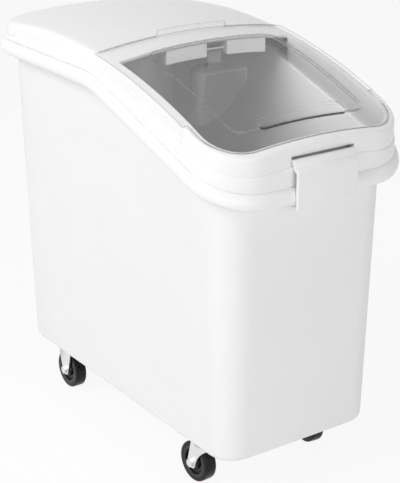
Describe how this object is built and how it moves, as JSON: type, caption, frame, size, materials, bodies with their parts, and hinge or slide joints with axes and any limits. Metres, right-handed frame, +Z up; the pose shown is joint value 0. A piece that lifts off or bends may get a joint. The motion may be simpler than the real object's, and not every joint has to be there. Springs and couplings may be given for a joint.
{
  "type": "rolling flour bin",
  "caption": "Mobile ingredient bin: tapered plastic tub with a rolled rim, a domed top with a clear slide-back lid, a front latch, a hung scoop, swivel front casters and rigid rear casters.",
  "frame": {"origin": "on the ground under the middle of the part's bounding box", "axes": "+Z up, +Y from the low front with its latch to the high rear, +X to the right as seen from the front"},
  "size_m": [0.384, 0.7226, 0.7112],
  "materials": {
    "white_plastic": "white moulded polyethylene with a satin skin",
    "clear_plastic": "clear moulded polycarbonate",
    "zinc_steel": "bright zinc-plated pressed steel",
    "black_plastic": "black moulded nylon",
    "black_rubber": "black hard rubber"
  },
  "bodies": {
    "bin": {"bin_body": "white_plastic", "caster_pads": "white_plastic", "lid_frame": "white_plastic", "latch_pin": "zinc_steel", "scoop_hanger": "white_plastic", "scoop_pin": "zinc_steel", "caster_bolts": "zinc_steel", "rear_left_bracket": "zinc_steel", "rear_left_bushing": "zinc_steel", "rear_left_axle": "zinc_steel", "rear_left_nut": "zinc_steel", "front_left_plate": "zinc_steel", "front_left_kingpin": "zinc_steel", "rear_right_bracket": "zinc_steel", "rear_right_bushing": "zinc_steel", "rear_right_axle": "zinc_steel", "rear_right_nut": "zinc_steel", "front_right_plate": "zinc_steel", "front_right_kingpin": "zinc_steel"},
    "lid": {"sliding_lid": "clear_plastic"},
    "latch": {"front_latch": "white_plastic"},
    "scoop": {"scoop": "clear_plastic"},
    "rear_left_roller": {"rear_left_wheel": "black_plastic", "rear_left_tyre": "black_rubber"},
    "rear_right_roller": {"rear_right_wheel": "black_plastic", "rear_right_tyre": "black_rubber"},
    "front_left_swivel": {"front_left_fork": "zinc_steel", "front_left_balls": "zinc_steel", "front_left_bushing": "zinc_steel", "front_left_axle": "zinc_steel", "front_left_nut": "zinc_steel"},
    "front_left_roller": {"front_left_wheel": "black_plastic", "front_left_tyre": "black_rubber"},
    "front_right_swivel": {"front_right_fork": "zinc_steel", "front_right_balls": "zinc_steel", "front_right_bushing": "zinc_steel", "front_right_axle": "zinc_steel", "front_right_nut": "zinc_steel"},
    "front_right_roller": {"front_right_wheel": "black_plastic", "front_right_tyre": "black_rubber"}
  },
  "joints": [
    {"name": "lid_slide", "type": "hinge", "parent": "bin", "child": "lid", "pos_m": [0, 0.1373, -0.391], "axis": [-1, 0, 0], "range_deg": [0, 11]},
    {"name": "latch_turn", "type": "hinge", "parent": "bin", "child": "latch", "pos_m": [0, -0.34445, 0.57633], "axis": [-1, 0, 0], "range_deg": [0, 70]},
    {"name": "scoop_swing", "type": "hinge", "parent": "bin", "child": "scoop", "pos_m": [0.024, -0.0334, 0.67354], "axis": [1, 0, 0], "range_deg": [-25, 25]},
    {"name": "rear_left_spin", "type": "hinge", "parent": "bin", "child": "rear_left_roller", "pos_m": [-0.1135, 0.2233, 0.035], "axis": [1, 0, 0], "continuous": true},
    {"name": "rear_right_spin", "type": "hinge", "parent": "bin", "child": "rear_right_roller", "pos_m": [0.1135, 0.2233, 0.035], "axis": [1, 0, 0], "continuous": true},
    {"name": "front_left_turn", "type": "hinge", "parent": "bin", "child": "front_left_swivel", "pos_m": [-0.1135, -0.2157, 0.084], "axis": [0, 0, 1], "continuous": true},
    {"name": "front_left_spin", "type": "hinge", "parent": "front_left_swivel", "child": "front_left_roller", "pos_m": [-0.11476, -0.19173, 0.035], "axis": [0.9986, 0.0523, 0], "continuous": true},
    {"name": "front_right_turn", "type": "hinge", "parent": "bin", "child": "front_right_swivel", "pos_m": [0.1135, -0.2157, 0.084], "axis": [0, 0, 1], "continuous": true},
    {"name": "front_right_spin", "type": "hinge", "parent": "front_right_swivel", "child": "front_right_roller", "pos_m": [0.11601, -0.19183, 0.035], "axis": [0.9945, -0.1045, 0], "continuous": true}
  ]
}
